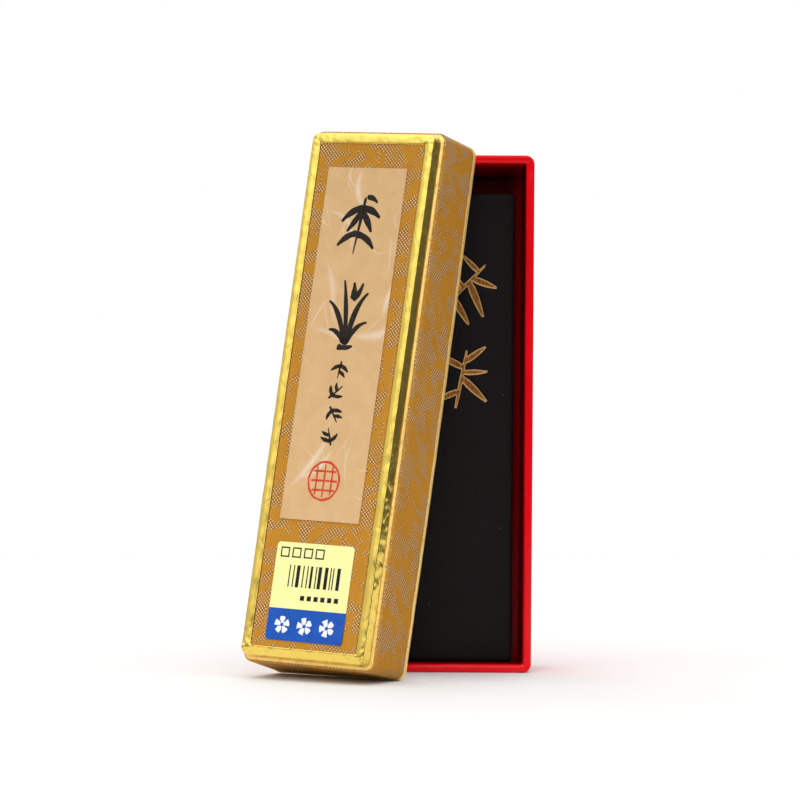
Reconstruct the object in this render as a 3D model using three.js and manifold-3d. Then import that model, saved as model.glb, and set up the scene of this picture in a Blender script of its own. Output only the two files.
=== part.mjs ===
// An ink stick in its presentation box. The tray stands on its foot end and opens towards -Y, the stick
// stands in it, and the lid leans across the front of the tray.
// Millimetres, +Z up. The origin is the centre of the tray's foot.

import * as THREE from 'three';
import { RoundedBoxGeometry } from 'three/addons/geometries/RoundedBoxGeometry.js';
import { mergeVertices } from 'three/addons/utils/BufferGeometryUtils.js';
import Module from 'manifold-3d';

const wasm = await Module();
wasm.setup();

// ---- Driving dimensions ----

const glueGap = 0.03;            // left between glued pieces of the tray
const lidGap = 0.05;             // the same in the lid, whose pieces are turned
const curveSegments = 6;

const tray = {
  width: 28, height: 107, depth: 18.5,
  wall: 1.7, floor: 1.65, wrap: 0.25, lining: 0.2,
  cornerRadius: 1.8, insideRadius: 0.6,
};

const stick = {
  width: 22, height: 97.5, thickness: 11, edgeRadius: 0.8,
  centreX: -0.9, engraving: 0.4, giltDepth: 0.28, giltMargin: 0.04,
};

const lid = {
  width: 31.2, height: 110.7, depth: 13,
  wall: 1.3, top: 1.4, brocade: 0.2, lining: 0.12,
  cornerRadius: 2, insideRadius: 0.5,
  foilReach: 1.6, foil: 0.12,
};

const panel = {
  backingInset: 0.35, backingThickness: 0.4,
  mouldingInset: 0.85, mouldingHeight: 2.5, mouldingRound: 0.35, mouldingCorner: 1.55,
  sideWidth: 2.35, endWidth: 1.85,
  brocade: 0.2, brocadeDrop: 0.25,
};

const label = { left: 6, width: 18.7, bottom: 29.3, height: 73.2, thickness: 0.12 };
const sticker = { left: 6.4, width: 18.2, bottom: 4.6, height: 20, thickness: 0.1, cornerRadius: 0.8 };

// The lid's rear right foot corner touches the ground here, and its right rim lies on the tray's head wall.
const lidPose = {
  cornerX: -11.96, cornerY: -27.5, cornerZ: -0.06,
  turn: 30.2, lean: 11.55, tilt: 1.8,
};

const materials = {
  greyBoard: { color: 0x8c8579, roughness: 0.95, metalness: 0 },
  redPaper: { color: 0xd31926, roughness: 0.25, metalness: 0 },
  ink: { color: 0x171213, roughness: 0.75, metalness: 0 },
  gilt: { color: 0xc9a050, roughness: 0.4, metalness: 0.8 },
  brocade: { color: 0xb5812e, roughness: 0.6, metalness: 0.1 },
  goldFoil: { color: 0xf5d272, roughness: 0.2, metalness: 1 },
  whitePaper: { color: 0xe8e2d4, roughness: 0.9, metalness: 0 },
  titlePaper: { color: 0xddb27f, roughness: 0.9, metalness: 0 },
  stickerPaper: { color: 0xf4f0a8, roughness: 0.5, metalness: 0 },
};

// ---- Solids ----

function toManifold(geometry) {
  const bare = geometry.clone();
  bare.deleteAttribute('normal');
  bare.deleteAttribute('uv');
  const merged = mergeVertices(bare, 1e-5);
  return new wasm.Manifold(new wasm.Mesh({
    numProp: 3,
    vertProperties: Float32Array.from(merged.attributes.position.array),
    triVerts: Uint32Array.from(merged.index.array),
  }));
}

function toGeometry(manifold) {
  const mesh = manifold.getMesh();
  const geometry = new THREE.BufferGeometry();
  geometry.setAttribute('position', new THREE.BufferAttribute(mesh.vertProperties, 3));
  geometry.setIndex(new THREE.BufferAttribute(mesh.triVerts, 1));
  geometry.computeVertexNormals();
  return geometry;
}

const subtract = (body, ...tools) =>
  toGeometry(tools.reduce((rest, tool) => rest.subtract(toManifold(tool)), toManifold(body)));
const intersect = (a, b) => toGeometry(toManifold(a).intersect(toManifold(b)));
const join = (first, ...others) =>
  toGeometry(others.reduce((sum, other) => sum.add(toManifold(other)), toManifold(first)));

// A box given by its two corners.
function block(x0, x1, y0, y1, z0, z1) {
  const geometry = new THREE.BoxGeometry(x1 - x0, y1 - y0, z1 - z0);
  return geometry.translate((x0 + x1) / 2, (y0 + y1) / 2, (z0 + z1) / 2);
}

// A rounded rectangle in the XZ plane.
function outline(x0, x1, z0, z1, radius) {
  const shape = new THREE.Shape();
  shape.moveTo(x0 + radius, z0);
  shape.lineTo(x1 - radius, z0);
  shape.absarc(x1 - radius, z0 + radius, radius, -Math.PI / 2, 0);
  shape.lineTo(x1, z1 - radius);
  shape.absarc(x1 - radius, z1 - radius, radius, 0, Math.PI / 2);
  shape.lineTo(x0 + radius, z1);
  shape.absarc(x0 + radius, z1 - radius, radius, Math.PI / 2, Math.PI);
  shape.lineTo(x0, z0 + radius);
  shape.absarc(x0 + radius, z0 + radius, radius, Math.PI, 1.5 * Math.PI);
  return shape;
}

// A flat shape in the XZ plane, carried along Y from one depth to another.
function slab(shape, y0, y1) {
  const geometry = new THREE.ExtrudeGeometry(shape, { depth: y1 - y0, bevelEnabled: false, curveSegments });
  return geometry.rotateX(Math.PI / 2).translate(0, y1, 0);
}

function piece(name, geometry, finish) {
  const mesh = new THREE.Mesh(geometry, new THREE.MeshStandardMaterial(finish));
  mesh.name = name;
  return mesh;
}

// ---- A box half: an open box that is grey board covered by paper ----

// The outline of a box half, drawn in by some distance from its outside.
function insetOutline(box, inset) {
  const radius = Math.max(box.cornerRadius - inset, 0.2);
  return outline(box.x0 + inset, box.x1 - inset, inset, box.height - inset, radius);
}

// The five boards that fill the space between two skins. closedY is the outer face of the closed side,
// openY the rim, and out is +1 where the closed side is at the higher Y.
function boardsOf(box, skin, innerSkin, gap) {
  const out = Math.sign(box.closedY - box.openY);
  const cover = insetOutline(box, skin + gap);
  const outer = skin + gap;
  const inner = box.wall - innerSkin - gap;
  const slabBetween = (shape, a, b) => slab(shape, Math.min(a, b), Math.max(a, b));
  const bottomOuter = box.closedY - out * outer;
  const bottomInner = box.closedY - out * (box.floor - gap);
  const wallStart = box.closedY - out * box.floor;
  const wallEnd = box.openY + out * (skin + gap);
  const wallRing = slabBetween(cover, wallStart, wallEnd);
  const y0 = Math.min(wallStart, wallEnd);
  const y1 = Math.max(wallStart, wallEnd);
  const side = (x0, x1) => intersect(wallRing, block(x0, x1, y0, y1, outer, box.height - outer));
  const between = (z0, z1) =>
    intersect(wallRing, block(box.x0 + inner + gap, box.x1 - inner - gap, y0, y1, z0, z1));
  return {
    flat: slabBetween(cover, bottomOuter, bottomInner),
    left: side(box.x0 + outer, box.x0 + inner),
    right: side(box.x1 - inner, box.x1 - outer),
    foot: between(outer, inner),
    head: between(box.height - inner, box.height - outer),
  };
}

// ---- Tray ----

const trayBox = {
  ...tray, x0: -tray.width / 2, x1: tray.width / 2, openY: -tray.depth / 2, closedY: tray.depth / 2,
};
const trayFloorY = trayBox.closedY - tray.floor;

// The red paper covers the outside, turns over the rim and runs down the inside of the walls.
function trayWrap() {
  const inside = tray.wall - tray.wrap;
  const shell = slab(insetOutline(trayBox, 0), trayBox.openY, trayBox.closedY);
  const cavityShape = outline(trayBox.x0 + tray.wall, trayBox.x1 - tray.wall,
    tray.wall, tray.height - tray.wall, tray.insideRadius);
  const cavity = slab(cavityShape, trayBox.openY - 1, trayFloorY);
  const coreShape = outline(trayBox.x0 + inside, trayBox.x1 - inside,
    inside, tray.height - inside, tray.insideRadius + tray.wrap);
  const core = slab(coreShape, trayBox.openY, trayFloorY);
  const filled = slab(insetOutline(trayBox, tray.wrap), trayBox.openY + tray.wrap, trayBox.closedY - tray.wrap);
  return subtract(shell, cavity, subtract(filled, core));
}

function trayFloorLining() {
  const edge = tray.wall + glueGap;
  const shape = outline(trayBox.x0 + edge, trayBox.x1 - edge, edge, tray.height - edge, tray.insideRadius);
  return slab(shape, trayFloorY - tray.lining, trayFloorY);
}

function buildTray() {
  const boards = boardsOf(trayBox, tray.wrap, tray.wrap, glueGap);
  const group = new THREE.Group();
  group.add(
    piece('tray_base_board', boards.flat, materials.greyBoard),
    piece('tray_left_wall_board', boards.left, materials.greyBoard),
    piece('tray_right_wall_board', boards.right, materials.greyBoard),
    piece('tray_head_wall_board', boards.head, materials.greyBoard),
    piece('tray_foot_wall_board', boards.foot, materials.greyBoard),
    piece('tray_red_wrap', trayWrap(), materials.redPaper),
    piece('tray_floor_lining', trayFloorLining(), materials.redPaper),
  );
  return group;
}

// ---- Ink stick ----

const stickFootZ = tray.wall + 0.1;
const stickBackY = trayFloorY - tray.lining - 0.1;
const stickFaceY = stickBackY - stick.thickness;

// One brush stroke: a leaf shape from a to b, widest a third of the way along, with round ends.
function strokeShape(a, b, width, grow) {
  const along = new THREE.Vector2().subVectors(b, a);
  const across = new THREE.Vector2(-along.y, along.x).normalize();
  const tip = along.clone().normalize();
  const at = (share, side) =>
    a.clone().addScaledVector(along, share).addScaledVector(across, side * (width / 2 + grow));
  const start = a.clone().addScaledVector(tip, -grow);
  const end = b.clone().addScaledVector(tip, grow);
  const shape = new THREE.Shape();
  const startSide = (side) => start.clone().addScaledVector(across, side * (width / 5 + grow));
  const endSide = (side) => end.clone().addScaledVector(across, side * (width / 10 + grow));
  shape.moveTo(startSide(-1).x, startSide(-1).y);
  shape.quadraticCurveTo(at(0.35, -1).x, at(0.35, -1).y, endSide(-1).x, endSide(-1).y);
  shape.lineTo(endSide(1).x, endSide(1).y);
  shape.quadraticCurveTo(at(0.35, 1).x, at(0.35, 1).y, startSide(1).x, startSide(1).y);
  return shape;
}

// A mark is a list of strokes [fromX, fromZ, toX, toZ, width] around its own centre.
function markSolid(strokes, centreZ, depth, grow) {
  const solids = strokes.map(([fromX, fromZ, toX, toZ, width]) => {
    const a = new THREE.Vector2(stick.centreX + fromX, centreZ + fromZ);
    const b = new THREE.Vector2(stick.centreX + toX, centreZ + toZ);
    return slab(strokeShape(a, b, width, grow), stickFaceY - 1, stickFaceY + depth);
  });
  return join(...solids);
}

// Bamboo sprigs: a stem and leaves that fan out from it.
const upperSprig = {
  centreZ: 79.2,
  strokes: [
    [-6.4, -6.6, 6.2, 6.4, 1.3],
    [2.2, 2.4, 7.4, 0.4, 2.2],
    [1.6, 1.8, 4.6, -5.6, 2.4],
    [-1.6, -1.6, 1.6, -7.2, 2.2],
    [0.4, 0.6, -5.6, 6.6, 2.2],
    [3.6, 3.8, 0.2, 7.2, 1.8],
    [-3.4, -3.4, -7.6, 1.2, 2.0],
  ],
};
const lowerSprig = {
  centreZ: 61.6,
  strokes: [
    [-1.0, -7.0, 1.6, 6.8, 1.2],
    [0.2, -0.6, 5.4, -5.6, 2.4],
    [0.8, 2.6, 5.2, 5.8, 2.0],
    [0.6, 1.4, -5.2, 4.4, 2.2],
    [-0.4, -3.4, -5.4, -5.6, 2.0],
    [0.4, 0.4, 5.6, 0.6, 1.8],
  ],
};

function engravedStick() {
  const body = new RoundedBoxGeometry(stick.width, stick.thickness, stick.height, 3, stick.edgeRadius);
  body.translate(stick.centreX, stickFaceY + stick.thickness / 2, stickFootZ + stick.height / 2);
  const marks = [upperSprig, lowerSprig].map(
    (sprig) => markSolid(sprig.strokes, sprig.centreZ, stick.engraving, stick.giltMargin));
  return subtract(body, ...marks);
}

// Gilt lies in the engraving, a little below the stick's face.
function gilt(sprig) {
  const solid = markSolid(sprig.strokes, sprig.centreZ, stick.engraving - glueGap, 0);
  const sunk = stick.engraving - stick.giltDepth;
  const inEngraving = block(-tray.width, tray.width, stickFaceY + sunk, stickFaceY + stick.engraving,
    0, tray.height);
  return intersect(solid, inEngraving);
}

function buildStick() {
  const group = new THREE.Group();
  group.add(
    piece('ink_stick', engravedStick(), materials.ink),
    piece('upper_gilt_mark', gilt(upperSprig), materials.gilt),
    piece('lower_gilt_mark', gilt(lowerSprig), materials.gilt),
  );
  return group;
}

// ---- Lid ----
// In its own frame the lid's closed side faces -Y, its rim is at Y = 0 and its right side at X = 0.

const lidBox = { ...lid, floor: lid.top, x0: -lid.width, x1: 0, openY: 0, closedY: -lid.depth };
const lidHollowY = lidBox.closedY + lid.top;

function lidWrap() {
  const shell = slab(insetOutline(lidBox, 0), lidBox.closedY, -lid.foil - lidGap);
  const within = slab(insetOutline(lidBox, lid.brocade), lidBox.closedY + lid.brocade, 1);
  const foilSeat = slab(insetOutline(lidBox, 0), -lid.foilReach - lidGap, 0);
  const foilKeep = slab(insetOutline(lidBox, lid.foil / 2), -lid.foilReach - lidGap, 0);
  return subtract(shell, within, subtract(foilSeat, foilKeep));
}

// The lining covers the hollow's walls up to the foil, and its closed side.
function lidLining() {
  const insideShape = (inset) => outline(lidBox.x0 + inset, lidBox.x1 - inset,
    inset, lid.height - inset, lid.insideRadius);
  const rimY = -lid.foilReach - lidGap;
  const outer = slab(insideShape(lid.wall - lid.lining), lidHollowY, rimY);
  const hollow = slab(insideShape(lid.wall), lidHollowY + lid.lining, 1);
  return subtract(outer, hollow);
}

// Foil turned over the rim: a short skirt outside, the rim itself and a short skirt inside.
function lidRimFoil() {
  const insideShape = (inset) => outline(lidBox.x0 + inset, lidBox.x1 - inset,
    inset, lid.height - inset, lid.insideRadius);
  const outer = slab(insetOutline(lidBox, 0), -lid.foilReach, 0);
  const hollow = slab(insideShape(lid.wall), -lid.depth, 1);
  const seat = subtract(
    slab(insetOutline(lidBox, lid.foil / 2 - 0.001), -lid.depth, -lid.foil),
    slab(insideShape(lid.wall - lid.foil), -lid.depth, 1));
  return subtract(outer, hollow, seat);
}

// The panel stands on the closed side. height is measured outwards from the lid's face.
const panelFaceY = (height) => lidBox.closedY - height;
const mouldingBase = panel.backingThickness + lidGap;
const mouldingTop = mouldingBase + panel.mouldingHeight;

function backingSheet() {
  const shape = insetOutline(lidBox, panel.backingInset);
  return slab(shape, panelFaceY(panel.backingThickness + lidGap / 2), panelFaceY(lidGap / 2));
}

// The opening inside the four mouldings, drawn in by some more distance.
function fieldOutline(inset) {
  const side = panel.mouldingInset + panel.sideWidth + inset;
  const end = panel.mouldingInset + panel.endWidth + inset;
  return outline(lidBox.x0 + side, lidBox.x1 - side, end, lid.height - end, 0.2);
}

// A flat-topped frame: its outer edge falls away in a narrow quarter ellipse.
function mouldingFrame() {
  const inset = panel.mouldingInset + panel.mouldingRound;
  const radius = panel.mouldingCorner - panel.mouldingRound;
  const shape = outline(lidBox.x0 + inset, lidBox.x1 - inset, inset, lid.height - inset, radius);
  const dome = new THREE.ExtrudeGeometry(shape, {
    depth: 1, curveSegments, bevelThickness: panel.mouldingHeight,
    bevelSize: panel.mouldingRound, bevelSegments: 7,
  });
  dome.rotateX(Math.PI / 2).translate(0, panelFaceY(mouldingBase), 0);
  const above = block(lidBox.x0, lidBox.x1, panelFaceY(mouldingTop), panelFaceY(mouldingBase),
    0, lid.height);
  const opening = slab(fieldOutline(0), panelFaceY(mouldingTop + 1), panelFaceY(0));
  return subtract(intersect(dome, above), opening);
}

// One mitred length of the frame: the part of it that lies within a wedge from the corners inwards.
function mouldingStrip(frame, side) {
  const x0 = lidBox.x0;
  const x1 = lidBox.x1;
  const height = lid.height;
  const half = lid.width / 2;
  const gap = lidGap;
  const wedges = {
    left: [[x0, gap], [x0 + half - gap, half], [x0 + half - gap, height - half], [x0, height - gap]],
    right: [[x1, height - gap], [x1 - half + gap, height - half], [x1 - half + gap, half], [x1, gap]],
    foot: [[x0 + gap, 0], [x1 - gap, 0], [x1 - half, half - gap]],
    head: [[x1 - gap, height], [x0 + gap, height], [x0 + half, height - half + gap]],
  };
  const shape = new THREE.Shape(wedges[side].map(([x, z]) => new THREE.Vector2(x, z)));
  return intersect(frame, slab(shape, panelFaceY(mouldingTop + 1), panelFaceY(0)));
}

const panelBoardTop = mouldingTop - panel.brocadeDrop - panel.brocade - lidGap;
const fieldTop = mouldingTop - panel.brocadeDrop;

function paperOnField(sheet, radius) {
  const left = lidBox.x0 + sheet.left;
  const shape = outline(left, left + sheet.width, sheet.bottom, sheet.bottom + sheet.height, radius);
  return slab(shape, panelFaceY(fieldTop + lidGap + sheet.thickness), panelFaceY(fieldTop + lidGap));
}

function buildLid() {
  const boards = boardsOf(lidBox, lid.brocade, lid.lining, lidGap);
  const frame = mouldingFrame();
  const group = new THREE.Group();
  group.add(
    piece('lid_top_board', boards.flat, materials.greyBoard),
    piece('lid_left_wall_board', boards.left, materials.greyBoard),
    piece('lid_right_wall_board', boards.right, materials.greyBoard),
    piece('lid_head_wall_board', boards.head, materials.greyBoard),
    piece('lid_foot_wall_board', boards.foot, materials.greyBoard),
    piece('lid_lining', lidLining(), materials.whitePaper),
    piece('lid_brocade_wrap', lidWrap(), materials.brocade),
    piece('lid_rim_foil', lidRimFoil(), materials.goldFoil),
    piece('gold_backing_sheet', backingSheet(), materials.goldFoil),
    piece('raised_panel_board',
      slab(fieldOutline(lidGap), panelFaceY(panelBoardTop), panelFaceY(mouldingBase)), materials.greyBoard),
    piece('raised_panel_brocade',
      slab(fieldOutline(lidGap), panelFaceY(fieldTop), panelFaceY(panelBoardTop + lidGap)),
      materials.brocade),
    piece('gold_moulding_left', mouldingStrip(frame, 'left'), materials.goldFoil),
    piece('gold_moulding_right', mouldingStrip(frame, 'right'), materials.goldFoil),
    piece('gold_moulding_head', mouldingStrip(frame, 'head'), materials.goldFoil),
    piece('gold_moulding_foot', mouldingStrip(frame, 'foot'), materials.goldFoil),
    piece('title_label', paperOnField(label, 0.2), materials.titlePaper),
    piece('price_sticker', paperOnField(sticker, sticker.cornerRadius), materials.stickerPaper),
  );
  group.position.set(lidPose.cornerX, lidPose.cornerY, lidPose.cornerZ);
  group.rotation.set(
    -THREE.MathUtils.degToRad(lidPose.lean),
    THREE.MathUtils.degToRad(lidPose.tilt),
    -THREE.MathUtils.degToRad(lidPose.turn), 'ZXY');
  return group;
}

const inkStickSet = new THREE.Group();
inkStickSet.add(buildTray(), buildStick(), buildLid());

export default inkStickSet;
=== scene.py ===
"""An ink stick in its presentation box: an open red paper tray with the stick in it, and a brocade lid with a
gold frame that leans across the front. The units are metres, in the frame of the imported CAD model. Shapes are
worked out in millimetres and turned into metres when a piece is added."""

import math
import random

import bmesh
import bpy
import numpy as np
from mathutils import Matrix, Vector, kdtree, noise


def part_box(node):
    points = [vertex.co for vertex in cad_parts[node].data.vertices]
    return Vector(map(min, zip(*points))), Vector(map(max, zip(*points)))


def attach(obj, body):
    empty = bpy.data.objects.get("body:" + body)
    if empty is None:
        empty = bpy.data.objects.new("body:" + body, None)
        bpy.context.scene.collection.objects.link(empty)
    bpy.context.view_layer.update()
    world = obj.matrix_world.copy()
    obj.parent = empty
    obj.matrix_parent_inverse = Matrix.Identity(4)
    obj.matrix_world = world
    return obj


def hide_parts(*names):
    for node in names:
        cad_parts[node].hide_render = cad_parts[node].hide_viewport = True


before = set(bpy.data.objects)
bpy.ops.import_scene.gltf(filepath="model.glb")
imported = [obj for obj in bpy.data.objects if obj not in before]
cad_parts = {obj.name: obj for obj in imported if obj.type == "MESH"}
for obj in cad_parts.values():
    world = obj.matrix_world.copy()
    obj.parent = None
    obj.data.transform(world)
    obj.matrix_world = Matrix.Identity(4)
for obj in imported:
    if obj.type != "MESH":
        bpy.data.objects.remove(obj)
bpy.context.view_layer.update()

# One millimetre, in the scene's metres.
MM = 0.001


# ---- Frames. Each half of the box has one that starts at a foot corner of its closed face: X runs across
# ---- that face, Y into the box and Z up to its head.

def node_points(name):
    """The points of a CAD node, in millimetres."""
    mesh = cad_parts[name].data
    points = np.zeros(len(mesh.vertices) * 3)
    mesh.vertices.foreach_get("co", points)
    return points.reshape(-1, 3) / MM


def plate_axes(name):
    """The directions of a flat upright plate: across, through and up, found from its own corners."""
    points = np.unique(np.round(node_points(name), 4), axis=0)
    _, _, directions = np.linalg.svd(points - points.mean(axis=0))
    up = directions[0] * np.sign(directions[0][2])
    across = directions[1] * np.sign(directions[1][0])
    return np.array([across, np.cross(up, across), up])


def cad_box(name):
    """A node's lowest and highest corner in the CAD's own frame, in millimetres."""
    return [np.array(corner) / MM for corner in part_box(name)]


def extent(name, axes):
    """How far a node reaches along each of three directions, from least to most."""
    along = node_points(name) @ axes.T
    return along.min(axis=0), along.max(axis=0)


LID_AXES = plate_axes("raised_panel_board")
RIM_LOW, RIM_HIGH = extent("lid_rim_foil", LID_AXES)
LID_START = np.array([RIM_LOW[0], extent("lid_brocade_wrap", LID_AXES)[0][1], RIM_LOW[2]])
LID_PLACE = Matrix.Translation(LID_AXES.T @ LID_START * MM) @ Matrix(LID_AXES.T.tolist()).to_4x4()

TRAY_LOW, TRAY_HIGH = cad_box("tray_red_wrap")
TRAY_PLACE = (Matrix.Translation(Vector((TRAY_HIGH[0], TRAY_HIGH[1], TRAY_LOW[2])) * MM)
              @ Matrix.Rotation(math.pi, 4, "Z"))


def lid_box(name):
    """A lid node's lowest and highest corner in the lid's frame, in millimetres."""
    low, high = extent(name, LID_AXES)
    return low - LID_START, high - LID_START


def tray_box(name):
    """A node's lowest and highest corner in the tray's frame, in millimetres."""
    low, high = cad_box(name)
    return (np.array([TRAY_HIGH[0] - high[0], TRAY_HIGH[1] - high[1], low[2] - TRAY_LOW[2]]),
            np.array([TRAY_HIGH[0] - low[0], TRAY_HIGH[1] - low[1], high[2] - TRAY_LOW[2]]))


# Each half's size in its own frame: across, deep and up.
LID_SIZE = RIM_HIGH - LID_START
LID_FACE = LID_SIZE[[0, 2]]
TRAY_SIZE = TRAY_HIGH - TRAY_LOW
PLACES = {"tray": TRAY_PLACE, "lid": LID_PLACE, "stick": Matrix.Identity(4)}


# ---- Materials ----

class Nodes:
    """Short names for the nodes of one material, or of the world, and for the links between them."""

    def __init__(self, tree):
        self.tree = tree

    def add(self, kind, inputs=(), **settings):
        """Adds a shader node of a kind, with its inputs by name or number and its settings by name."""
        node = self.tree.nodes.new("ShaderNode" + kind)
        for name, value in settings.items():
            setattr(node, name, value)
        for key, value in dict(inputs).items():
            self.put(value, node.inputs[key])
        return node

    def put(self, value, socket):
        """Sets a socket to a value, or joins another node's output to it."""
        if isinstance(value, bpy.types.NodeSocket):
            self.tree.links.new(value, socket)
        else:
            socket.default_value = value

    def math(self, operation, a, b=0.0):
        return self.add("Math", {0: a, 1: b}, operation=operation).outputs[0]

    def plus(self, a, b):
        return self.math("ADD", a, b)

    def times(self, a, b):
        return self.math("MULTIPLY", a, b)

    def dot(self, where, direction):
        node = self.add("VectorMath", {0: where, 1: direction}, operation="DOT_PRODUCT")
        return node.outputs["Value"]

    def remap(self, value, low, high, to_low=0.0, to_high=1.0, kind="LINEAR"):
        inputs = {"Value": value, "From Min": low, "From Max": high, "To Min": to_low, "To Max": to_high}
        return self.add("MapRange", inputs, interpolation_type=kind).outputs[0]


class Surface(Nodes):
    """A material made of nodes. Sizes in it are in millimetres."""

    def __init__(self, name):
        self.material = bpy.data.materials.new(name)
        self.material.use_nodes = True
        super().__init__(self.material.node_tree)

    def finish(self, **sockets):
        """Gives the shader its values, such as Base_Color=..., and returns the material."""
        shader = self.tree.nodes["Principled BSDF"]
        for name, value in sockets.items():
            self.put(value, shader.inputs[name.replace("_", " ")])
        return self.material

    def place(self):
        """Where a point is in its object, in millimetres."""
        coordinates = self.add("TexCoord").outputs["Object"]
        return self.add("VectorMath", {0: coordinates, 3: 1 / MM}, operation="SCALE").outputs[0]

    def flat(self):
        """Where a point is on its sheet of paper or cloth, laid flat, in millimetres."""
        return self.add("Attribute", attribute_name="flat").outputs["Vector"]

    def painted(self, name):
        """A number that the piece's own mesh carries at each point."""
        return self.add("Attribute", attribute_name=name).outputs["Fac"]

    def rubbed(self, grain, low, high, most, least=0.0):
        """How far the worn edges are rubbed, broken up where a grain goes from low to high."""
        return self.times(self.painted("wear"), self.remap(grain, low, high, least, most))

    def noise(self, where, size, detail=2.0, roughness=0.5, distortion=0.0):
        inputs = {"Vector": where, "Scale": 1 / size, "Detail": detail, "Roughness": roughness,
                  "Distortion": distortion}
        return self.add("TexNoise", inputs).outputs["Fac"]

    def cells(self, where, size, feature="F1"):
        inputs = {"Vector": where, "Scale": 1 / size}
        return self.add("TexVoronoi", inputs, feature=feature).outputs["Distance"]

    def stretched(self, where, scale):
        return self.add("VectorMath", {0: where, 1: scale}, operation="MULTIPLY").outputs[0]

    def stripes(self, where, pitch, degrees):
        """Waves from 0 to 1 across the sheet, their crests at an angle to its foot."""
        angle = math.radians(degrees)
        across = (-math.sin(angle) * math.tau / pitch, math.cos(angle) * math.tau / pitch, 0)
        return self.remap(self.math("SINE", self.dot(where, across)), -1, 1)

    def blend(self, share, first, second):
        """A colour between two others."""
        node = self.add("Mix", data_type="RGBA")
        self.put(share, node.inputs[0])
        for value, socket in ((first, node.inputs[6]), (second, node.inputs[7])):
            self.put(value if isinstance(value, bpy.types.NodeSocket) else (*value, 1), socket)
        return node.outputs[2]

    def bump(self, height, depth):
        """Relief whose full height is a depth in millimetres."""
        inputs = {"Height": height, "Distance": depth * MM, "Strength": 1.0}
        return self.add("Bump", inputs).outputs[0]


def brocade():
    """Ochre twill with leaves and clouds worked over it in a lattice of silvery threads."""
    s = Surface("brocade")
    flat = s.flat()
    twill = s.stripes(flat, 0.52, 66)
    turned = s.add("VectorRotate", {"Vector": flat, "Angle": 0.65}, rotation_type="Z_AXIS")
    leaves = s.noise(s.stretched(turned.outputs[0], (0.55, 1.0, 1.0)), 3.0, 0.4, 0.4, 0.6)
    clouds = s.noise(s.stretched(flat, (1.0, 0.7, 1.0)), 3.6, 1.2, 0.5, 0.9)
    figure = s.math("MAXIMUM", s.remap(leaves, 0.545, 0.56), s.remap(clouds, 0.555, 0.57))
    figure = s.times(figure, s.remap(s.noise(flat, 4.0, 2.0), 0.38, 0.56, 0.5, 1.0))
    lattice = s.times(s.stripes(flat, 0.56, 47), s.stripes(flat, 0.56, -43))
    dots = s.remap(lattice, 0.24, 0.72)
    shade = s.noise(flat, 9.0, 3.0)
    ground = s.blend(twill, (0.48, 0.208, 0.018), (0.57, 0.264, 0.032))
    threads = s.blend(dots, (0.31, 0.135, 0.021), (0.98, 0.71, 0.40))
    woven = s.blend(figure, ground, threads)
    aged = s.blend(s.remap(shade, 0.4, 0.7, 0.0, 0.14), woven, (0.36, 0.14, 0.012))
    colour = s.blend(s.rubbed(s.noise(flat, 0.9, 3.0), 0.45, 0.7, 0.4), aged, (0.76, 0.50, 0.22))
    relief = s.blend(figure, s.blend(twill, (0.0,) * 3, (0.5,) * 3), s.blend(dots, (0.1,) * 3, (1.0,) * 3))
    return s.finish(Base_Color=colour, Roughness=s.remap(dots, 0, 1, 0.62, 0.5),
                    Specular_IOR_Level=0.08, Normal=s.bump(relief, 0.035))


def gold_foil(name, crumple, smooth, metal, dark, light):
    """Thin gold foil laid on card, with small hollows and creases, and rubbed dull at its edges."""
    s = Surface(name)
    place = s.place()
    hollows = s.noise(s.stretched(place, (1.0, 1.0, 0.6)), 3.2, 1.0)
    creases = s.remap(s.cells(s.stretched(place, (1.0, 1.0, 0.45)), 4.0, "DISTANCE_TO_EDGE"), 0.0, 0.05)
    grain = s.noise(place, 0.5, 2.0)
    relief = s.plus(hollows, s.times(creases, 0.12))
    relief = s.plus(relief, s.times(grain, 0.03))
    worn = s.rubbed(s.noise(place, 1.1, 4.0), 0.52, 0.72, 0.7)
    colour = s.blend(worn, s.blend(s.noise(place, 7.0), dark, light), (0.60, 0.36, 0.08))
    return s.finish(Base_Color=colour, Metallic=s.remap(worn, 0, 1, metal, 0.6 * metal),
                    Roughness=s.remap(s.noise(place, 2.4, 2.0), 0.3, 0.7, smooth, smooth + 0.10),
                    Normal=s.bump(relief, crumple))


def red_paper(name, gloss, deep):
    """Glossy red paper, with faint waves from the glue under it and its colour rubbed thin at the edges.
    Inside the tray its colour is mixed towards deep, a darker red, as painted shade."""
    s = Surface(name)
    place = s.place()
    shade = s.remap(s.noise(place, 14.0, 3.0), 0.35, 0.65)
    tone = s.blend(shade, (0.76, 0.002, 0.007), (0.86, 0.003, 0.010))
    outside = s.blend(s.rubbed(s.noise(place, 0.8, 4.0), 0.5, 0.75, 0.3), tone, (0.86, 0.03, 0.035))
    # Painted shade: the painted inside number mixes the colour towards the darker deep red.
    colour = s.blend(s.painted("inside"), outside, deep)
    waves = s.noise(place, 6.0, 2.0)
    fibres = s.noise(s.stretched(place, (1.0, 1.0, 0.4)), 0.3, 4.0)
    relief = s.plus(waves, s.times(fibres, 0.05))
    return s.finish(Base_Color=colour, Roughness=s.remap(s.noise(place, 2.5, 4.0), 0.3, 0.7, 0.12, 0.22),
                    Specular_IOR_Level=gloss, Normal=s.bump(relief, 0.04))


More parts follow.
